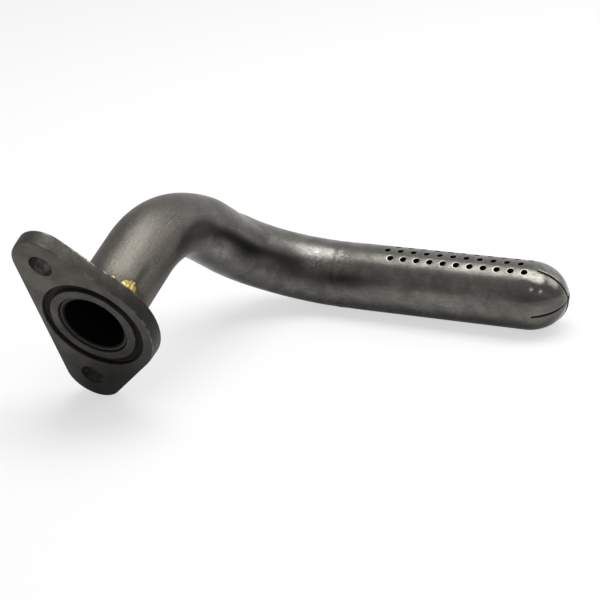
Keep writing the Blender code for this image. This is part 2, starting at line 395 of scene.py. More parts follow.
def rolling_tree():
    """Rolls the flat wall round its route. X is the length along it, Y the way round and Z the height
    over the tube's outside."""
    tree, t, given = new_geometry_tree("rolled_wall", {
        "Route": "Object", "Tube Radius": "Float", "Weld": "Float", "Material": "Material",
    })
    route = t.add("GeometryNodeObjectInfo", {"Object": given["Route"]}).outputs["Geometry"]
    line = t.add("GeometryNodeMeshToCurve", {0: route}).outputs[0]
    place = t.add("ShaderNodeSeparateXYZ", {0: t.add("GeometryNodeInputPosition").outputs[0]}).outputs

    def sample(attribute, kind):
        """Read an attribute of the route at the length along it."""
        value = t.add("GeometryNodeInputNamedAttribute", {"Name": attribute}, data_type=kind).outputs[0]
        return t.add("GeometryNodeSampleCurve", {
            "Curves": line, "Value": value, "Length": place["X"],
        }, data_type=kind, mode="LENGTH", use_all_curves=True).outputs

    here = sample("side", "FLOAT_VECTOR")
    side = t.vector("NORMALIZE", here["Value"])
    across = t.vector("CROSS_PRODUCT", here["Tangent"], side)
    turn = t.math("DIVIDE", place["Y"], given["Tube Radius"])
    out = t.vector("ADD", t.scaled(side, t.math("COSINE", turn)), t.scaled(across, t.math("SINE", turn)))
    reach = t.plus(sample("radius_here", "FLOAT")["Value"], place["Z"])
    rolled = t.add("GeometryNodeSetPosition", {
        "Geometry": given["Geometry"], "Position": t.vector("ADD", here["Position"], t.scaled(out, reach)),
    }).outputs[0]
    welded = t.add("GeometryNodeMergeByDistance", {"Geometry": rolled, "Distance": given["Weld"]}).outputs[0]
    smooth = t.add("GeometryNodeSetShadeSmooth", {"Geometry": welded}).outputs[0]
    close_geometry_tree(t, smooth, given["Material"])
    return tree


# Materials


class Finish:
    """A Principled material and the node helpers that paint it, layer by layer."""

    def __init__(self, name, unrolled=False):
        """Patterns follow the unrolled wall or the object's own coordinates, in millimetres."""
        self.material = bpy.data.materials.new(name)
        self.material.use_nodes = True
        self.t = Tree(self.material.node_tree)
        self.shader = self.material.node_tree.nodes["Principled BSDF"]
        self.tone = None
        if unrolled:
            self.where = self.t.add("ShaderNodeUVMap", uv_map="unrolled").outputs[0]
        else:
            self.where = self.t.add("ShaderNodeTexCoord").outputs["Object"]

    def attribute(self, name):
        return self.t.add("ShaderNodeAttribute", attribute_name=name).outputs["Fac"]

    def grain(self, scale, detail=3.0, rough=0.55, distortion=0.0, along=(1, 1, 1)):
        """Noise, drawn out along the axes whose share is small."""
        place = self.t.add("ShaderNodeMapping", {
            "Vector": self.where, "Scale": [1000 * share for share in along],
        }).outputs[0]
        return self.t.add("ShaderNodeTexNoise", {
            "Vector": place, "Scale": scale, "Detail": detail, "Roughness": rough, "Distortion": distortion,
        }).outputs["Fac"]

    def between(self, value, low, high, start=0.0, end=1.0):
        return self.t.add("ShaderNodeMapRange", {
            "Value": value, "From Min": low, "From Max": high, "To Min": start, "To Max": end,
        }, interpolation_type="SMOOTHSTEP").outputs[0]

    def spots(self, low, high, *grain, **more):
        """Where a grain rises from low to high."""
        return self.between(self.grain(*grain, **more), low, high)

    def mix(self, factor, one, two):
        """Mix two colours, each a socket or a colour."""
        one, two = (c if isinstance(c, bpy.types.NodeSocket) else (*c, 1.0) for c in (one, two))
        return self.t.add("ShaderNodeMix", {0: factor, 6: one, 7: two}, data_type="RGBA").outputs[2]

    def lay(self, mask, paint, share=1.0):
        """Lay a colour over the tone where the mask is."""
        self.tone = self.mix(self.t.times(mask, share), self.tone, paint)

    def blend(self, factor, one, two):
        return self.t.add("ShaderNodeMix", {0: factor, 2: one, 3: two}, data_type="FLOAT").outputs[0]

    def close(self, rough, height, strength, distance, **more):
        """Connect the tone and the rest to the shader, with the height as its bump."""
        bump = self.t.add("ShaderNodeBump", {"Height": height, "Strength": strength, "Distance": distance})
        self.t.fill(self.shader, {"Base Color": self.tone, "Roughness": rough, "Normal": bump.outputs[0]})
        self.t.fill(self.shader, more)
        return self.material


def tube_finish(look):
    """Drawn steel: cloudy grey with lengthwise draw lines, scuffs, stains and burnished rims, with painted
    highlights, glints and shade, and black painted shade inside.
    """
    f = Finish("drawn_steel", unrolled=True)
    plus, times, between = f.t.plus, f.t.times, f.between
    clouds = f.grain(0.16, 4.0, 0.62, 0.4)
    lines = f.grain(1.7, 4.0, 0.6, along=(0.035, 1, 1))
    hatch = f.grain(1.1, 5.0, 0.7, 1.2, along=(0.5, 0.8, 1))
    grit = f.grain(3.2, 2.0, 0.6)
    scuff_and_highlight, dull, heat, inside = (f.attribute(name) for name in ("scuff_and_highlight", "dull", "heat", "inside"))
    f.tone = f.mix(between(clouds, 0.3, 0.72), look.steel_dark, look.steel_light)
    f.lay(between(lines, 0.5, 0.78), look.steel_light, 0.3)
    f.lay(times(f.attribute("stain"), f.spots(0.44, 0.66, 0.9, 5.0, 0.7)), look.stained)
    scratched = between(plus(times(hatch, 0.55), times(grit, 0.45)), 0.44, 0.6)
    # rubbed steel and painted highlights
    f.lay(times(scuff_and_highlight, scratched), look.rubbed_and_highlight)
    f.lay(f.spots(0.735, 0.79, 1.15, 1.0, 0.5), look.rubbed_and_highlight, 0.6)
    # the brownish film of the leg, with dark pits and bright specks in it
    f.lay(times(dull, between(clouds, 0.35, 0.6, 0.1, 0.7)), look.dulled)
    pits = f.spots(0.60, 0.70, 1.5, 2.0, 0.6, along=(0.9, 1.2, 1))
    f.lay(times(pits, between(dull, 0, 1, 0.1, 0.7)), look.pitted)
    specks = f.spots(0.55, 0.66, 1.9, 3.0, 0.7, along=(1.2, 0.8, 1))
    f.lay(times(specks, between(dull, 0, 1, 0.05, 0.4)), look.rubbed_and_highlight)
    strokes = f.spots(0.56, 0.68, 1.5, 3.0, 0.6, 0.6, along=(0.10, 1.6, 1))
    f.lay(strokes, look.rubbed_and_highlight, 0.2)
    # painted shade along the bends, under the drilled length and next to the flange
    f.lay(f.attribute("dark"), look.darkened, 0.88)
    # heat tint, reaching far enough to stand in also for painted shade next to the flange
    f.lay(between(heat, 0.06, 0.4), look.straw, 0.5)
    f.lay(between(heat, 0.45, 0.8), look.blued, 0.6)
    # burnished rims of the holes, and painted glints on the dents
    rim = times(f.attribute("rim"), between(f.grain(0.8, 2.0, 0.5), 0.3, 0.55, 0.35, 1.0))
    f.lay(rim, look.burnished)
    # painted shade: black inside the tube, in the holes and along the slit edges
    f.lay(inside, look.bore)
    rough = plus(between(clouds, 0.3, 0.7, 0.36, 0.27), between(grit, 0.35, 0.75, -0.03, 0.07))
    rough = f.blend(times(dull, between(hatch, 0.3, 0.7, 0.45, 1.0)), rough, 0.52)
    rough = f.blend(times(scuff_and_highlight, 0.5), rough, 0.40)
    rough = times(rough, f.blend(f.attribute("polish"), 1.0, 0.62))
    rough = f.blend(inside, f.blend(rim, rough, 0.2), 0.8)
    height = plus(times(lines, 0.5), times(grit, 0.4))
    height = plus(height, times(times(hatch, scuff_and_highlight), 0.6))
    height = plus(height, times(clouds, 2.4))
    return f.close(rough, height, 0.45, 0.00006, **{
        "Metallic": f.blend(inside, 0.95, 0.0), "Specular IOR Level": f.blend(inside, 0.5, 0.0),
    })


def flange_finish(look):
    """Blackened plate: matt, faintly cloudy, rubbed bright along its edges with painted highlight lines,
    nicked, and with painted shade towards one ear and in its recesses.
    """
    f = Finish("blackened_plate")
    plus, times, between = f.t.plus, f.t.times, f.between
    clouds = f.grain(0.14, 4.0, 0.6)
    grit = f.grain(2.6, 3.0, 0.65)
    side, painted_recess_shade = f.attribute("side_wall"), f.attribute("painted_recess_shade")
    f.tone = f.mix(between(clouds, 0.2, 0.8), look.plate_dark, look.plate_light)
    f.lay(f.spots(0.5, 0.8, 0.9, 3.0, 0.6, 0.2, along=(1, 0.12, 0.3)), look.plate_light, 0.15)
    f.lay(side, look.plate_side, 0.6)
    f.lay(times(side, f.spots(0.56, 0.72, 0.9, 4.0, 0.7, along=(0.5, 1.4, 1))), look.plate_scraped, 0.35)
    f.lay(f.spots(0.74, 0.80, 0.9, 1.5, 0.5), look.plate_speck, 0.4)
    # corner wear, which also paints highlight lines along the edges
    worn = times(f.attribute("edge"), f.spots(0.42, 0.66, 0.33, 4.0, 0.65))
    f.lay(worn, look.plate_worn_and_highlight)
    # painted shade towards the lower ear and on the side wall by the bulge
    f.lay(f.attribute("painted_shade"), look.plate_painted_shade, 0.74)
    # painted shade in the groove, the bore and the bolt holes
    f.lay(painted_recess_shade, look.plate_painted_recess_shade, 0.75)
    # only the walls of the bolt holes get painted shade of more than one
    f.lay(times(between(painted_recess_shade, 1.02, 1.08), f.spots(0.4, 0.66, 0.42, 4.0, 0.7)), look.plate_fleck, 0.4)
    f.lay(between(f.attribute("heat"), 0.1, 0.6), look.plate_blued, 0.6)
    rough = plus(between(clouds, 0.3, 0.7, 0.55, 0.43), between(grit, 0.3, 0.75, -0.04, 0.08))
    rough = f.blend(painted_recess_shade, f.blend(worn, rough, 0.28), 0.72)
    height = plus(times(grit, 0.5), clouds)
    return f.close(rough, height, 0.4, 0.00007, Metallic=0.85)


def braze_finish(look):
    """Braze metal: burnt dark, with bare golden runs."""
    f = Finish("braze_metal")
    plus, times, between = f.t.plus, f.t.times, f.between
    lumps = f.grain(0.75, 4.0, 0.6, 0.3)
    grit = f.grain(3.2, 3.0, 0.6)
    uneven = times(f.t.math("SUBTRACT", lumps, 0.5), 1.1)
    bare = between(plus(f.attribute("bare"), uneven), 0.3, 0.55)
    burnt = f.mix(between(lumps, 0.35, 0.65), look.burnt, look.burnt_light)
    f.tone = f.mix(between(grit, 0.35, 0.65), look.brass, look.brass_deep)
    f.lay(f.spots(0.47, 0.66, 0.9, 2.0), look.brass_dirty)
    f.tone = f.mix(bare, burnt, f.tone)
    height = plus(times(lumps, 2.0), times(grit, 0.7))
    return f.close(f.blend(bare, 0.5, 0.3), height, 0.6, 0.00012, Metallic=0.9)


# The tube's wall, laid out flat


SEAM = math.radians(-160)

# A place on the route: length from the seal face, point, side vector, and how far the bends have drawn
# the tube in, from 0 to 1
Station = namedtuple("Station", "length point side drawn")


def bend(start, along, side, radius, sweep, steps):
    """Places round a bend: part of the way, length, point, tangent, and the side vector in its plane."""
    for step in range(steps + 1):
        a = sweep * step / steps
        point = start + radius * (math.sin(a) * along + (1 - math.cos(a)) * side)
        tangent = math.cos(a) * along + math.sin(a) * side
        yield step / steps, radius * a, point, tangent, math.cos(a) * side - math.sin(a) * along


def route_stations(route, end):
    """The middle line from the seal face to just past the tip, in the flange's own frame, and the length
    at which the second bend ends."""
    radius = route.bend_radius
    along = Vector((0, 0, -1))
    side = Vector((math.cos(route.azimuth), math.sin(route.azimuth), 0))

    def turned(tangent, flat):
        return math.cos(route.twist) * flat + math.sin(route.twist) * tangent.cross(flat)

    stations = [
        Station(s, along * s, turned(along, side), 0.0) for s in spread(0.0, route.leg, LEG_STEPS)[:-1]
    ]
    first = bend(along * route.leg, along, side, radius, route.first_bend, FIRST_BEND_STEPS)
    for part, s, point, tangent, flat in first:
        stations.append(Station(route.leg + s, point, turned(tangent, flat), ease(part)))
    along, side = tangent, turned(tangent, flat)
    reach = stations[-1].length
    for s in spread(0.0, route.between, BETWEEN_STEPS)[1:]:
        stations.append(Station(reach + s, point + along * s, side, 1.0))
    reach += route.between
    second = bend(point + along * route.between, along, side, radius, route.second_bend, SECOND_BEND_STEPS)
    for part, s, point, tangent, flat in list(second)[1:]:
        stations.append(Station(reach + s, point, flat, 1.0 - 0.8 * ease(1.5 * part - 0.5)))
    reach += radius * route.second_bend
    tail = spread(0.0, end.lead_in - end.pitch, LEAD_STEPS)[1:]
    cells = CELL * (end.holes + 1) - CELL // 2
    tail += [tail[-1] + end.pitch / CELL * i for i in range(1, cells + 1)]
    tail += [dome_start(end) + end.dome * math.sin(a) for a in dome_steps(end)]
    tail.append(tail[-1] + 0.004)
    for s in tail:
        stations.append(Station(reach + s, point + tangent * s, flat, 0.2 * (1 - ease(s / 0.008))))
    return stations, reach


def dome_start(end):
    """Length from the second bend to the last hole, where the closed end begins."""
    return end.lead_in + end.pitch * (end.holes - 1)


def dome_steps(end):
    """Angles up the dome, from the start of the slits to just short of the tip."""
    first = math.asin(end.setback / end.dome)
    last = math.radians(85.5)
    return [first + (last - first) * (i / DOME_STEPS) ** 0.92 for i in range(DOME_STEPS + 1)]


def way_round(end):
    """Lines along the wall, as angles, with CELL of them to each row of holes."""
    middle = end.first_row - end.row_step * (end.rows - 1) / 2
    half = end.row_step * end.rows / 2
    return (
        spread(SEAM, middle - half, BELOW_HOLES)[:-1]
        + spread(middle - half, middle + half, CELL * end.rows)
        + spread(middle + half, SEAM + 2 * math.pi, ABOVE_HOLES)[1:]
    )


class Wall:
    """The tube's wall unrolled: points are (length along, way round, height over the outside)."""

    def __init__(self):
        self.verts = []
        self.faces = []
        self.inside = []

    # the last value is the painted shade of a point: 1 on the inner side, which is painted black
    def point(self, x, y, z, inside=0.0):
        self.verts.append((x, y, z))
        self.inside.append(inside)
        return len(self.verts) - 1

    def strip(self, one, two):
        for i in range(len(one) - 1):
            self.faces.append((one[i], two[i], two[i + 1], one[i + 1]))

    def sheet(self, rings, inside):
        """Faces through the rings, turned inwards on the inner side."""
        for one, two in zip(rings, rings[1:]):
            if inside:
                self.strip(one, two)
            else:
                self.strip(two, one)


def hole_patch(end, wall, high):
    """One hole in its cell of the flat wall: pressed-in rim, bore and the inner side. The border has
    CELL steps to a side, so that cells match when they are shifted by half a pitch."""
    x, y = end.pitch / 2, high / 2
    corners = ((-x, -y), (x, -y), (x, y), (-x, y))
    border = []
    for one, two in zip(corners, corners[1:] + corners[:1]):
        border += split_side(one, two, CELL)
    hole, dip = end.hole / 2, end.dimple
    # share of the hole's radius, or 0 for the border, with height, brightness of the rim and painted shade
    rings = (
        (0.0, 0.0, 0.0, 0.0), (1.9, 0.0, 0.0, 0.0), (1.6, -0.2 * dip, 0.0, 0.0),
        (1.34, -0.6 * dip, 0.25, 0.0), (1.22, -dip, 0.8, 0.0), (1.14, -1.8 * dip, 0.1, 0.8),
        (1.08, -4.0 * dip, 0.0, 1.0),
        (1.0, -8.0 * dip, 0.0, 1.0), (1.0, -wall + 0.0001, 0.0, 1.0), (1.06, -wall, 0.0, 1.0),
        (0.0, -wall, 0.0, 1.0),
    )
    verts, faces, rim, inside = [], [], [], []
    for share, height, bright, dark in rings:
        for x, y in border:
            if share > 0:
                a = math.atan2(y, x)
                x, y = share * hole * math.cos(a), share * hole * math.sin(a)
            verts.append((x, y, height))
            rim.append(bright)
            inside.append(dark)
    row = len(border)
    for one in range(0, row * (len(rings) - 1), row):
        two = one + row
        for i in range(row):
            after = (i + 1) % row
            faces.append((one + i, one + after, two + after, two + i))
    return mesh_from("hole_patch", verts, faces, rim=rim, inside=inside)


def lay_out_wall(route, end, stations, reach):
    """The plain wall, both sides of it, with windows left for the hole patches."""
    radius = route.diameter / 2
    w = Wall()
    lines = way_round(end)
    last_cell = reach + dome_start(end) + end.pitch / 2
    rows = [at.length for at in stations if route.recess + 0.0006 < at.length < last_cell + 0.00001]
    first_cell = min(range(len(rows)), key=lambda i: abs(rows[i] - (reach + end.lead_in - end.pitch)))
    windows = set()
    for row in range(end.rows):
        up = BELOW_HOLES + CELL * (end.rows - 1 - row)
        for index in range(end.holes):
            out = first_cell + CELL * index + (0 if row % 2 else CELL // 2)
            windows.update((i, j) for i in range(out, out + CELL) for j in range(up, up + CELL))
    sides = []
    for height, inside in ((0.0, 0.0), (-route.wall, 1.0)):
        grid = [[w.point(s, radius * a, height, inside) for a in lines] for s in rows]
        for i in range(len(rows) - 1):
            for j in range(len(lines) - 1):
                if (i, j) not in windows:
                    face = (grid[i][j], grid[i + 1][j], grid[i + 1][j + 1], grid[i][j + 1])
                    w.faces.append(face if inside else face[::-1])
        sides.append(grid)
    outer, inner = sides
    # the open end, with its outer edge broken and its inner edge reamed: distance past the recess,
    # height and painted shade
    lip = (
        (0.00022, 0.0, 0.0), (0.0, -0.00022, 0.3), (0.0, -0.0006, 0.35), (0.00012, -0.001, 0.8),
        (0.0005, -route.wall, 1.0),
    )
    rings = [outer[0]]
    for ahead, height, inside in lip:
        rings.append([w.point(route.recess + ahead, radius * a, height, inside) for a in lines])
    w.sheet([*rings, inner[0]], inside=True)
    ClosedEnd(w, route, end, reach + dome_start(end)).draw(lines, outer[-1], inner[-1])
    return w


class ClosedEnd:
    """Draws the dome on the flat wall: a plain start, then four petals pressed together."""

    # What sets each slit off from even spacing, its share of the gap at the tip, and how far each petal
    # stands proud of the dome
    ASTRAY = (0.0, 0.0, math.radians(-12), 0.0)
    TIP_SHARES = (1.0, 0.45, 0.2, 0.9)
    PROUD = (0.00012, 0.0, 0.00008, 0.00045)
    # Width of a rounded edge, and how far it falls at the edge and next to it
    EDGE = 0.00016
    FALLS = (0.00011, 0.00003, 0.0)

    def __init__(self, w, route, end, base):
        self.w = w
        self.end = end
        self.base = base
        self.radius = route.diameter / 2
        self.wall = route.wall
        self.steps = dome_steps(end)

    def skin(self, a, inside):
        """Length along the dome's outer or inner side, its radius, and its height over the outside."""
        thick = self.wall if inside else 0.0
        x = (self.end.dome - thick) * math.sin(a)
        r = (self.radius - thick) * math.cos(a)
        return x, r, r - self.radius * math.sqrt(max(0.0, 1 - (x / self.end.dome) ** 2))

    def half_gap(self, a, slit, r):
        """Half the width of a slit, as an angle round the tube."""
        part = (a - self.steps[0]) / (self.steps[-1] - self.steps[0])
        width = self.end.slit_width
        at_tip = self.TIP_SHARES[slit % 4] * self.end.tip_gap
        gap = width * ease(part * 26) + (at_tip - width) * ease(2 * part - 1)
        return math.asin(min(0.7, gap / 2 / max(r, 0.0004)))

    def slits(self):
        """Angles of the four slits, from the seam on."""
        even = (self.end.slit + math.pi / 2 * k for k in range(4))
        return sorted(SEAM + (a + astray - SEAM) % (2 * math.pi) for a, astray in zip(even, self.ASTRAY))

    def draw(self, lines, outer, inner):
        """Draw the end on from the last rings of the wall, with the lines drawn to the slits."""
        slits = self.slits()
        marks = [min(range(len(lines)), key=lambda j: abs(lines[j] - a)) for a in slits]
        warped = list(lines)
        for mark, exact in zip(marks, slits):
            for j in range(len(lines)):
                warped[j] += (exact - lines[mark]) * max(0.0, 1 - abs(j - mark) / 8)
        last_cell = math.asin(0.5 * self.end.pitch / self.end.dome)
        for inside, ring in ((False, outer), (True, inner)):
            rings = [ring]
            for a in spread(last_cell, self.steps[0], 3)[1:]:
                x, _, height = self.skin(a, inside)
                along = self.base + x
                rings.append([self.w.point(along, self.radius * turn, height, inside) for turn in warped])
            self.w.sheet(rings, inside)
        full = 2 * math.pi
        for petal in range(4):
            if petal < 3:
                low, high = slits[petal:petal + 2]
                turns = warped[marks[petal]:marks[petal + 1] + 1]
            else:
                low, high = slits[3], slits[0] + full
                turns = warped[marks[3]:] + [a + full for a in warped[1:marks[0] + 1]]
            shares = [(a - low) / (high - low) for a in turns]
            out, deep = (self.petal_side(petal, low, high, shares, inside) for inside in (False, True))
            self.w.strip([row[0] for row in out], [row[0] for row in deep])
            self.w.strip([row[-1] for row in deep], [row[-1] for row in out])
            self.w.strip(deep[-1], out[-1])

    def petal_side(self, petal, low, high, shares, inside):
        """The outer or inner side of a petal between two angles, with a rounded edge along each slit."""
        rows = []
        for number, a in enumerate(self.steps):
            x, r, height = self.skin(a, inside)
            begin, finish = low, high
            places = [shares[0]] * 2 + shares + [shares[-1]] * 2
            falls = [0.0] * len(places)
            if number:
                begin += self.half_gap(a, petal, r)
                finish -= self.half_gap(a, petal + 1, r)
                soft = self.EDGE / max(r, 0.001) / (high - low)
                flat = [2.2 * soft + (1 - 4.4 * soft) * share for share in shares[1:-1]]
                places = [0.0, soft, 2.2 * soft, *flat, 1 - 2.2 * soft, 1 - soft, 1.0]
                falls = [*self.FALLS, *[0.0] * len(flat), *self.FALLS[::-1]]
            lift = self.PROUD[petal] * ease(number / 12)
            row = []
            for share, fall in zip(places, falls):
                drop = 0.0 if inside else fall * ease(number / 3)
                # painted shade: the inner side black, and the rounded slit edges darker
                shade = 1.0 if inside else fall * 3500
                turn = begin + (finish - begin) * share
                row.append(self.w.point(self.base + x, self.radius * turn, height + lift - drop, shade))
            rows.append(row)
        self.w.sheet(rows, inside)
        return rows


# Shape, wear and painted light and shade by place on the tube


def wall_radius(route, end, reach, at):
    """Outer radius of the tube at a station, with the dome at its end."""
    radius = route.diameter / 2
    past = at.length - reach - dome_start(end)
    if past > 0:
        return radius * math.sqrt(max(0.0, 1 - (past / end.dome) ** 2))
    return radius * (1 - at.drawn * (1 - route.neck))


def bend_shape(route, s, a, drawn, reach):
    """How far a bend presses the wall out or in at a length along and an angle round the tube."""
    bent = route.leg + route.bend_radius * route.first_bend
    blend = ease((s - bent) / route.between)
    oval = (1 - blend) * math.cos(2 * (a + route.twist)) + blend * math.cos(2 * a)
    pinch = -0.0011 * bell(s, route.leg + 0.0235, 0.010) * beside(a, 90, 0.6)
    ridge = 0.00018 * bell(s, route.leg + 0.030, 0.0025) * beside(a, -4, 0.7)
    shoulder = 0.0006 * bell(s, bent - 0.0005, 0.0065) - 0.0004 * bell(s, bent + 0.0130, 0.0035)
    mark = 0.00007 * bell(s, reach - 0.0014, 0.0009) - 0.00006 * bell(s, reach - 0.0044, 0.0012)
    return -route.oval * drawn * oval + pinch + ridge + shoulder * beside(a, -68, 0.7) + mark


# Dents of the closing tool: length past the dome's start, degrees round the tube to the painted glint on
# the bright side of the dent, and depth. The first is too shallow to shine and gets no painted glint.
DENTS = ((0.0043, -11, 0.00008), (0.0040, 3, 0.00042), (0.0071, 4, 0.00036))


def tip_dents(past, a):
    """Waves and small dents of the closed end, by length past the dome's start."""
    waves = 0.00012 * math.sin(5 * a + 1.0) * ease(past / 0.006)
    d = math.degrees(wrap(a))
    return waves - sum(deep * bell(past, x, 0.0007) * bell(d, place - 3, 4) for x, place, deep in DENTS)


def dent_painted_glint(past, a):
    """Painted glints on the bright side of the deeper dents."""
    if past <= 0:
        return 0.0
    d = math.degrees(wrap(a))
    return max(bell(past, x, 0.0005) * bell(d, place, 3) for x, place, _ in DENTS[1:])


# Patches of wear and of painted light and shade: strength, then middle and half length along the tube,
# in millimetres from the end of the second bend, then middle and half width round it, in degrees. The
# scuffs hold rubbed steel and painted highlights, the shades hold painted shade.
SCUFFS_AND_HIGHLIGHTS = (
    (0.85, -12, 9, -8, 13), (0.55, 2, 3, -12, 18), (0.6, -1.4, 1.1, -22, 20), (0.5, -12, 6, -1, 8),
    (0.5, 35, 42, -20, 9), (0.25, -113, 16, -45, 22), (0.3, -86, 10, 60, 26), (0.25, 40, 32, 44, 12),
    (0.95, -54, 7, -52, 18), (0.6, 78, 6, -44, 26), (0.4, -28, 18, -34, 14), (0.9, -68, 6, 40, 8),
    (0.5, 77, 4, 84, 18), (0.4, -97, 7, 38, 8),
)
STAINS = ((0.75, 76, 7, 42, 14), (0.45, 40, 28, 44, 10), (0.6, 45, 40, -22, 12))
PAINTED_SHADES = ((0.3, -63, 8, -2, 8), (0.3, -9, 8, -2, 8), (0.35, -91, 17, -70, 36), (0.6, 77, 9, 22, 13))


def patches(table, x, d):
    return sum(
        strength * bell(x, middle, reach) * bell(d, place, width)
        for strength, middle, reach, place, width in table
    )


def wear_marks(s, a, reach):
    """Scuff with painted highlights, stain, heat tint, dull film, painted shade and polish at a length along
    the tube and an angle round it."""
    x = (s - reach) * 1000
    d = math.degrees(wrap(a))
    # rubbed steel and painted highlights; the upper petals of the closed end get a painted highlight
    scuff_and_highlight = patches(SCUFFS_AND_HIGHLIGHTS, x, d) + 0.75 * ease((x - 75) / 5) * bell(d, -58, 20)
    stain = patches(STAINS, x, d) + 0.4 * bell(x, -131, 10)
    # heat tint round the braze; its long reach along the tube also stands in for painted shade in the gap
    # next to the flange
    heat = math.exp(-max(0.0, s - 0.0062) / 0.0060) if s > 0.0058 else 0.0
    dull = 1 - ease((s - 0.036) / 0.05)
    # painted shade: the dark band that winds along the inner side of the bends, and darker strips on the
    # bends and under the drilled length
    middle = 4 + 14 * ease(-(x + 97) / 10) - 10 * bell(x, -86, 9) - 5 * ease((x + 25) / 14)
    dark = stretch(x, -106, 9, -27, 15) * bell(d, middle, 9 if d < middle else 16)
    dark += (0.85 - 0.3 * bell(x, -44, 12)) * stretch(x, -66, 12, 6, 18) * bell(d, 28, 15)
    dark += 0.4 * stretch(x, -72, 10, -30, 12) * bell(d, -19, 9)
    dark += 0.55 * ease((x + 20) / 30) * bell(d, 86, 15)
    # painted shade next to the flange and inside its bore
    dark += 0.8 * bell(s, 0.019, 0.008) * bell(d, -23, 6) + 0.6 * (1 - ease((s - 0.013) / 0.005))
    # further patches of painted shade
    dark += patches(PAINTED_SHADES, x, d)
    return min(scuff_and_highlight, 1.0), min(stain, 1.0), heat, dull, min(dark, 1.0), ease((x - 66) / 8)


class PICKUP_OT_tube(bpy.types.Operator):
    """Build the tube: its wall is laid out flat with the holes and petals, then rolled on its route"""

    bl_idname = "pickup.tube"
    bl_label = "Tube"

    def execute(self, context):
        route = context.scene.pickup_route
        end = context.scene.pickup_end
        steel = tube_finish(context.scene.pickup_finish)
        radius = route.diameter / 2
        row_step = end.row_step * radius
        stations, reach = route_stations(route, end)
        patch = add_object("hole_patch", hole_patch(end, route.wall, row_step))
        top = end.first_row - end.row_step * (end.rows - 1)
        run_geometry_tree(patch, perforation_tree(), {
            "Holes": end.holes, "Rows": end.rows, "Pitch": end.pitch, "Row Step": row_step,
            "Start": (reach + end.lead_in, radius * top, 0.0), "Seed": end.seed, "Material": steel,
        })
        tube = add_object("tube", self.flat_wall(lay_out_wall(route, end, stations, reach)))
        self.join_patches(tube, patch)
        self.paint(tube.data, route, end, stations, reach)
        guide = add_object("route_guide", self.guide_mesh(route, end, stations, reach))
        run_geometry_tree(tube, rolling_tree(), {
            "Route": guide, "Tube Radius": radius, "Weld": 0.000002, "Material": steel,
        })
        bpy.data.objects.remove(guide)
        self.close_up(tube.data)
        finish_piece(tube, "steel_tube", "pickup_tube", steel)
        return {"FINISHED"}

    def flat_wall(self, wall):
        count = len(wall.verts)
        return mesh_from(
            "flat_wall", wall.verts, wall.faces, rim=[0.0] * count, inside=wall.inside, chance=[0.5] * count,
        )

    def join_patches(self, tube, patch):
        """Weld the hole patches into the windows of the flat wall."""
        bm = bmesh.new()
        bm.from_mesh(tube.data)
        bm.from_mesh(patch.data)
        bmesh.ops.remove_doubles(bm, verts=bm.verts, dist=0.000004)
        bm.to_mesh(tube.data)
        bm.free()
        bpy.data.objects.remove(patch)

    def guide_mesh(self, route, end, stations, reach):
        """The route as a line of points that carry the tube's radius and side vector."""
        base = lying_matrix(route)
        turn = base.to_3x3()
        mesh = bpy.data.meshes.new("route_guide")
        edges = [(i, i + 1) for i in range(len(stations) - 1)]
        mesh.from_pydata([base @ at.point for at in stations], edges, [])
        store(mesh, "radius_here", [wall_radius(route, end, reach, at) for at in stations])
        side = mesh.attributes.new("side", "FLOAT_VECTOR", "POINT")
        side.data.foreach_set("vector", [c for at in stations for c in turn @ at.side])
        return mesh

    def paint(self, mesh, route, end, stations, reach):
        """Store the unrolled map, press the bends out of round, and mark wear and painted light and shade by
        place.
        """
        unrolled = mesh.uv_layers.new(name="unrolled")
        flat = [v.co.copy() for v in mesh.vertices]
        unrolled.data.foreach_set("uv", [c for loop in mesh.loops for c in flat[loop.vertex_index].xy])
        drawn = self.drawn_at(stations)
        marks = []
        shine = []
        for v, here in zip(mesh.vertices, flat):
            a = here.y / (route.diameter / 2)
            past = here.x - reach - dome_start(end)
            v.co.z += bend_shape(route, here.x, a, drawn(here.x), reach)
            if past > 0:
                v.co.z += tip_dents(past, a)
            # painted glints on the bright sides of the dents
            shine.append(1.4 * dent_painted_glint(past, a))
            marks.append(wear_marks(here.x, a, reach))
        for key, numbers in zip(("scuff_and_highlight", "stain", "heat", "dull", "dark", "polish"), zip(*marks)):
            store(mesh, key, numbers)
        # every hole's rim is worn by its own chance, and the painted glints of the dents go into the rims too
        rim, chance = mesh.attributes["rim"].data, mesh.attributes["chance"].data
        worn = [max(r.value * (0.45 + 0.55 * c.value), g) for r, c, g in zip(rim, chance, shine)]
        rim.foreach_set("value", worn)

    def drawn_at(self, stations):
        """A function that gives how far the tube is drawn in at a length along it."""
        lengths = [at.length for at in stations]

        def look_up(x):
            low = min(max(bisect_right(lengths, x) - 1, 0), len(lengths) - 2)
            one, two = stations[low:low + 2]
            part = min(1.0, max(0.0, (x - one.length) / (two.length - one.length)))
            return one.drawn + (two.drawn - one.drawn) * part

        return look_up

    def close_up(self, mesh):
        """Remove what the welding flattened, and keep the slit edges and rims crisp."""
        bm = bmesh.new()
        bm.from_mesh(mesh)
        bmesh.ops.dissolve_degenerate(bm, edges=bm.edges, dist=0.000001)
        bm.to_mesh(mesh)
        bm.free()
        turn_outwards(mesh)
        mesh.shade_smooth()
        mesh.set_sharp_from_angle(angle=math.radians(42))


# The flange


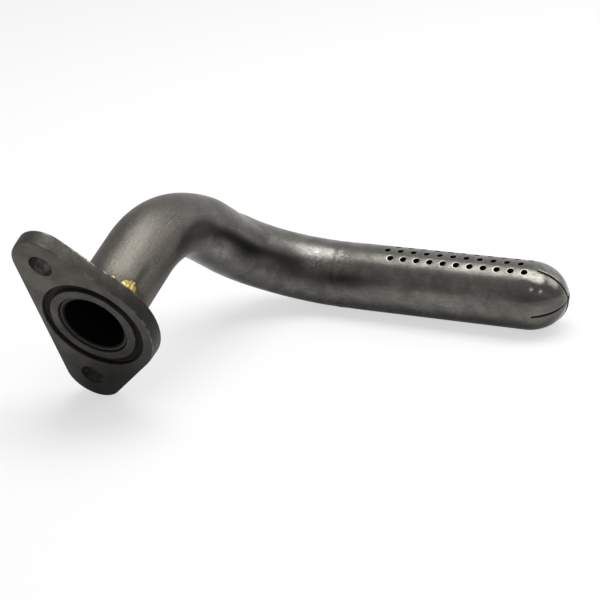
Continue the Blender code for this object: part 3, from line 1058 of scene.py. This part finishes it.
def plate_outline(shape, grow):
    """Two ears and a bulge round the bore, joined by their common tangents, moved out by grow."""
    half = shape.spacing / 2
    circles = (
        ((half, -shape.offset), shape.ear + grow),
        ((0.0, 0.0), shape.bulge + grow),
        ((-half, -shape.offset), shape.ear + grow),
    )
    joints = []
    for i in range(3):
        (x1, y1), r1 = circles[i]
        (x2, y2), r2 = circles[(i + 1) % 3]
        far = math.hypot(x2 - x1, y2 - y1)
        joints.append(math.atan2(y2 - y1, x2 - x1) - math.acos((r1 - r2) / far))
    arcs = []
    for i, ((x, y), radius) in enumerate(circles):
        first, last = joints[i - 1], joints[i]
        while last < first:
            last += 2 * math.pi
        turns = spread(first, last, EAR_STEPS)
        arcs.append([(x + radius * math.cos(a), y + radius * math.sin(a)) for a in turns])
    outline = []
    for arc, following in zip(arcs, arcs[1:] + arcs[:1]):
        outline += arc[:-1] + split_side(arc[-1], following[0], SIDE_PARTS)
    return outline


class PICKUP_OT_flange(bpy.types.Operator):
    """Build the two-bolt flange with its seal groove, sheared edge and broken corners"""

    bl_idname = "pickup.flange"
    bl_label = "Flange"

    def execute(self, context):
        shape = context.scene.pickup_flange
        bm = bmesh.new()
        marks = {key: bm.verts.layers.float.new(key) for key in ("edge", "painted_recess_shade", "side_wall", "heat", "painted_shade")}
        loops = [self.edge_loops(bm, marks, shape)]
        for x in (-shape.spacing / 2, shape.spacing / 2):
            profile = self.bolt_hole_profile(shape)
            loops.append(self.bored_loops(bm, marks, profile, BOLT_HOLE_STEPS, x, -shape.offset))
        loops.append(self.bored_loops(bm, marks, self.groove_profile(shape), BORE_STEPS, 0, 0))
        self.cap(bm, [front for front, _ in loops], 1)
        self.cap(bm, [back for _, back in loops], -1)
        self.mark_wear(bm, marks)
        mesh = bpy.data.meshes.new("flange_plate")
        bm.to_mesh(mesh)
        bm.free()
        turn_outwards(mesh)
        mesh.transform(lying_matrix(context.scene.pickup_route))
        mesh.shade_smooth()
        mesh.set_sharp_from_angle(angle=math.radians(12))
        plate = add_object("flange_plate", mesh)
        steel = flange_finish(context.scene.pickup_finish)
        finish_piece(plate, "flange_plate", "flange", steel)
        return {"FINISHED"}

    def edge_loops(self, bm, marks, shape):
        """The plate's edge from front to back, as how far it is moved out, Z and wear of the corner, with a
        painted highlight along the back.
        """
        back = -shape.thickness
        soft, burr, flare = shape.soft_edge, shape.back_edge, shape.flare
        profile = (
            (-1.6 * soft, 0.0, 0.0), (-0.8 * soft, -0.12 * soft, 0.35), (-0.3 * soft, -0.4 * soft, 0.7),
            (-0.05 * soft, -soft, 0.5), (0.0, -2 * soft, 0.1), (0.4 * flare, -4 * soft, 0.0),
            (flare, back + 2.7 * burr, 0.1), (flare, back + 2.1 * burr, 1.0), (flare, back + 1.2 * burr, 1.0),
            (flare - 0.7 * burr, back + 0.4 * burr, 1.0), (flare - 1.7 * burr, back, 0.5),
            (flare - 3 * burr, back, 0.0),
        )
        rings = []
        for grow, z, edge in profile:
            ring = [bm.verts.new((x, y, z)) for x, y in plate_outline(shape, grow)]
            for vert in ring:
                vert[marks["edge"]] = edge
                vert[marks["side_wall"]] = 1.0 if -0.0001 > z > back + 0.0001 else 0.0
            rings.append(ring)
        self.bridge(bm, rings)
        return rings[0], rings[-1]

    def bolt_hole_profile(self, shape):
        """Radius, Z, wear of the corner and painted shade, from front to back."""
        hole, back = shape.bolt_hole / 2, -shape.thickness
        return (
            (hole + 0.0002, 0.0, 0.0, 0), (hole + 0.00006, -0.00006, 0.2, 0), (hole, -0.0002, 0.1, 0.4),
            (hole, -0.001, 0.0, 1.25), (hole, back + 0.0004, 0.0, 1.1), (hole - 0.0003, back, 0.0, 0.5),
        )

    def groove_profile(self, shape):
        """The groove, the collar and the bore: radius, Z, wear of the corner and painted shade."""
        groove, collar, bore = shape.groove, shape.collar, shape.bore
        low, back = -shape.depth, -shape.thickness
        return (
            (groove + 0.0003, 0.0, 0.0, 0), (groove + 0.00006, -0.00009, 0.3, 0.1),
            (groove, -0.0003, 0.2, 0.1),
            (groove, low + 0.0004, 0.0, 0.6), (groove - 0.0004, low, 0.0, 1), (collar + 0.0004, low, 0.0, 1),
            (collar, low + 0.0004, 0.0, 0.9), (collar, -0.0003, 0.2, 0.4),
            (collar - 0.00006, -0.00009, 0.3, 0.2), (collar - 0.0003, 0.0, 0.0, 0.28),
            (bore + 0.0004, 0.0, 0.0, 0.28), (bore + 0.0001, -0.00012, 0.3, 0.2), (bore, -0.0004, 0.1, 0.6),
            (bore, back + 0.0004, 0.0, 0.5), (bore + 0.0003, back, 0.0, 0),
        )

    def bored_loops(self, bm, marks, profile, steps, x, y):
        """Turn a profile round a point, and give its first and last rings."""
        rings = []
        for radius, z, edge, painted_recess_shade in profile:
            ring = []
            for a in spread(0.0, 2 * math.pi, steps)[:-1]:
                vert = bm.verts.new((x + radius * math.cos(a), y + radius * math.sin(a), z))
                vert[marks["edge"]] = edge
                vert[marks["painted_recess_shade"]] = painted_recess_shade
                ring.append(vert)
            rings.append(ring)
        self.bridge(bm, rings[::-1])
        return rings[0], rings[-1]

    def bridge(self, bm, rings):
        for one, two in zip(rings, rings[1:]):
            for i, vert in enumerate(one):
                after = (i + 1) % len(one)
                bm.faces.new((vert, two[i], two[after], one[after]))

    def cap(self, bm, loops, up):
        """Fill the flat face between the outline and the openings in it."""
        edges = [bm.edges.get(pair) for loop in loops for pair in zip(loop, loop[1:] + loop[:1])]
        made = bmesh.ops.triangle_fill(
            bm, edges=edges, use_beauty=True, use_dissolve=False, normal=(0, 0, up),
        )
        if not made["geom"]:
            raise RuntimeError("The flat face of the plate can't be filled")

    def mark_wear(self, bm, marks):
        """Heat tint by the golden run, painted shade towards the bulge and one ear, and knocked corners with
        painted highlight lines.
        """
        for vert in bm.verts:
            x, y, z = vert.co
            around = math.degrees(math.atan2(y, x))
            tinted = bell(around, 152, 14) + 0.5 * bell(around, 125, 10)
            near = bell(math.hypot(x, y), 0.0225, 0.0035) * tinted
            vert[marks["heat"]] = near * (1.0 if z < -0.002 else 0.2)
            # painted shade: darker towards the lower ear, and on the side wall towards the bulge
            shaded = 0.85 * ease((y + 0.006) / 0.024) * (vert[marks["side_wall"]] > 0.5)
            vert[marks["painted_shade"]] = max(ease((x + 0.006) / 0.036), shaded)
            # corner wear, kept to the front edge at the bulge and the back edge at the upper ear, also paints
            # highlight lines there
            knocked = bell(around, 76, 24) if z > -0.003 else bell(around, 170, 22)
            vert[marks["edge"]] *= 0.3 + 0.7 * knocked


# The braze


class PICKUP_OT_braze(bpy.types.Operator):
    """Build the ring of braze in the corner behind the flange, with its golden runs"""

    bl_idname = "pickup.braze"
    bl_label = "Braze"

    def execute(self, context):
        route = context.scene.pickup_route
        top = -context.scene.pickup_flange.thickness
        verts, faces, bare = [], [], []
        for a in spread(0.0, 2 * math.pi, BRAZE_AROUND)[:-1]:
            for out, along, shine in self.section(a):
                radius = route.diameter / 2 + out
                verts.append((radius * math.cos(a), radius * math.sin(a), top - along))
                bare.append(shine)
        row = len(verts) // BRAZE_AROUND
        for k in range(BRAZE_AROUND):
            here, after = row * k, row * ((k + 1) % BRAZE_AROUND)
            for j in range(row):
                up = (j + 1) % row
                faces.append((here + j, here + up, after + up, after + j))
        mesh = mesh_from("braze_ring", verts, faces, bare=bare)
        turn_outwards(mesh)
        mesh.transform(lying_matrix(route))
        mesh.shade_smooth()
        ring = add_object("braze_ring", mesh)
        metal = braze_finish(context.scene.pickup_finish)
        finish_piece(ring, "braze_ring", "braze_fillet", metal)
        return {"FINISHED"}

    def section(self, a):
        """The ring cut at an angle: distance out from the tube, length along it and bareness."""
        run, shine = self.runs(math.degrees(wrap(a)))
        lump = noise.noise(Vector((math.cos(a), math.sin(a), 0.3)) * 4.0)
        fine = noise.noise(Vector((math.cos(a), math.sin(a), 2.0)) * 13.0)
        leg = 0.0021 * (1 + 0.25 * lump + 0.1 * fine)
        tall = leg + run
        film = 0.00005 + 0.00085 * shine * (1 + 0.3 * fine)
        for part in spread(0.0, 1.0, BRAZE_ACROSS):
            hollow = leg * max(0.0, 1 - part * tall / leg) ** 2
            drop = film * math.sqrt(max(0.0, 1 - part ** 4)) * (1 if part else 0.5)
            yield hollow + drop, part * tall, shine * ease(part * 2.5)
        # the hidden back of the ring, a little inside the tube and the plate
        for out, along in ((-0.0004, tall * 0.9), (-0.0004, -0.0002), (leg * 0.8, -0.0002)):
            yield out, along, 0.0

    def runs(self, d):
        """How far the braze has run along the tube, and how bare it is, at an angle in degrees."""
        main = math.exp(-(((d - 124) / 17) ** 4))
        lesser = math.exp(-(((d - 153) / 6) ** 4))
        below = bell(d, -60, 10)
        uneven = 1.04 + 0.07 * math.sin(d * 0.42) + 0.03 * math.sin(d * 1.1)
        run = max(0.0078 * main * uneven, 0.0060 * lesser, 0.0008 * below)
        return run, min(1.0, main + 0.7 * lesser + 0.4 * below)


# The stage


class PICKUP_OT_stage(bpy.types.Operator):
    """Build the pale floor, the soft overhead light, the surroundings and the camera"""

    bl_idname = "pickup.stage"
    bl_label = "Stage"

    def execute(self, context):
        stage = context.scene.pickup_stage
        low = GROUND - FLOOR_DROP
        turns = ((-1, -1), (1, -1), (1, 1), (-1, 1))
        corners = [(x * FLOOR_HALF, y * FLOOR_HALF, low) for x, y in turns]
        floor = add_object("floor", mesh_from("floor", corners, [(0, 1, 2, 3)]))
        floor.data.materials.append(self.floor_finish(context.scene.pickup_finish))
        self.surround(stage)
        self.lamp("overhead_light", stage.overhead, (0.80, 0.48), (0.10, 0.15, 0.80))
        self.lamp("side_light", stage.side, (0.5, 0.5), (0.75, 0.52, 0.62), turned=True)
        self.camera(stage)
        context.scene.view_settings.view_transform = "Standard"
        return {"FINISHED"}

    def floor_finish(self, look):
        """Pale floor that shows nearly white to the camera and in the metal, and keeps its shadow."""
        material = bpy.data.materials.new("pale_floor")
        material.use_nodes = True
        t = Tree(material.node_tree)
        shader = t.tree.nodes["Principled BSDF"]
        t.fill(shader, {"Base Color": (*look.floor, 1.0), "Roughness": 0.9, "Specular IOR Level": 0.1})
        path = t.add("ShaderNodeLightPath").outputs
        straight = t.times(t.plus(path["Is Camera Ray"], path["Is Transmission Ray"]), 0.6)
        seen = t.plus(straight, t.times(path["Is Glossy Ray"], 0.1))
        glow = t.add("ShaderNodeEmission", {"Color": (1, 1, 1, 1), "Strength": 1.0}).outputs[0]
        mixed = t.add("ShaderNodeMixShader", {0: seen, 1: shader.outputs[0], 2: glow}).outputs[0]
        t.fill(t.tree.nodes["Material Output"], {"Surface": mixed})
        return material

    def surround(self, stage):
        """Plain surroundings, brighter behind the part, and white to the camera."""
        world = bpy.data.worlds.new("plain_surroundings")
        world.use_nodes = True
        t = Tree(world.node_tree)
        way = t.add("ShaderNodeTexCoord").outputs["Generated"]
        behind = t.add("ShaderNodeMapRange", {
            "Value": t.add("ShaderNodeSeparateXYZ", {0: way}).outputs["Y"], "From Min": 0.4, "From Max": 0.95,
            "To Min": stage.surround, "To Max": stage.behind,
        }, interpolation_type="SMOOTHSTEP").outputs[0]
        back = t.tree.nodes["Background"]
        t.fill(back, {"Color": (1, 1, 1, 1), "Strength": behind})
        white = t.add("ShaderNodeBackground", {"Color": (1, 1, 1, 1), "Strength": 1.0}).outputs[0]
        direct = t.add("ShaderNodeLightPath").outputs["Is Camera Ray"]
        mixed = t.add("ShaderNodeMixShader", {0: direct, 1: back.outputs[0], 2: white}).outputs[0]
        t.fill(t.tree.nodes["World Output"], {"Surface": mixed})
        bpy.context.scene.world = world

    def lamp(self, name, power, size, place, turned=False):
        """A soft light, pointing down or turned to the part."""
        light = bpy.data.lights.new(name, "AREA")
        light.energy = power
        light.shape = "RECTANGLE"
        light.size, light.size_y = size
        lamp = add_object(name, light)
        lamp.location = place
        if turned:
            lamp.rotation_euler = Vector(place).to_track_quat("Z", "Y").to_euler()

    def camera(self, stage):
        """The camera where the photograph was taken from."""
        data = bpy.data.cameras.new("camera")
        data.lens = stage.lens
        data.sensor_width = 36.0
        data.clip_start = 0.01
        data.clip_end = 20.0
        camera = add_object("camera", data)
        away = -Vector(stage.aim).normalized()
        right = Vector(stage.upright).cross(away).normalized()
        turn = Matrix((right, away.cross(right), away)).transposed().to_4x4()
        camera.matrix_world = Matrix.Translation(stage.camera) @ turn
        bpy.context.scene.camera = camera


class PICKUP_PT_panel(bpy.types.Panel):
    """Lists the steps of the pickup tube and their sizes"""

    bl_idname = "PICKUP_PT_panel"
    bl_label = "Oil Pickup Tube"
    bl_space_type = "VIEW_3D"
    bl_region_type = "UI"
    bl_category = "Pickup Tube"

    def draw(self, context):
        layout = self.layout
        for step in STEPS:
            layout.operator(step.bl_idname)
        for key in GROUPS:
            box = layout.box()
            group = getattr(context.scene, key)
            for name in group.bl_rna.properties.keys():
                if name not in {"rna_type", "name"}:
                    box.prop(group, name)


GROUPS = {
    "pickup_route": PickupTubeRoute,
    "pickup_end": PickupTubeEnd,
    "pickup_flange": PickupFlangeShape,
    "pickup_finish": PickupFinish,
    "pickup_stage": PickupStage,
}
STEPS = (PICKUP_OT_tube, PICKUP_OT_flange, PICKUP_OT_braze, PICKUP_OT_stage)
CLASSES = (*GROUPS.values(), *STEPS, PICKUP_PT_panel)


def register():
    for cls in CLASSES:
        bpy.utils.register_class(cls)
    for key, group in GROUPS.items():
        setattr(bpy.types.Scene, key, PointerProperty(type=group))


def unregister():
    for key in GROUPS:
        delattr(bpy.types.Scene, key)
    for cls in reversed(CLASSES):
        bpy.utils.unregister_class(cls)


def main():
    register()
    bpy.ops.pickup.tube()
    bpy.ops.pickup.flange()
    bpy.ops.pickup.braze()
    bpy.ops.pickup.stage()
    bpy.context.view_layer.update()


if __name__ == "__main__":
    main()
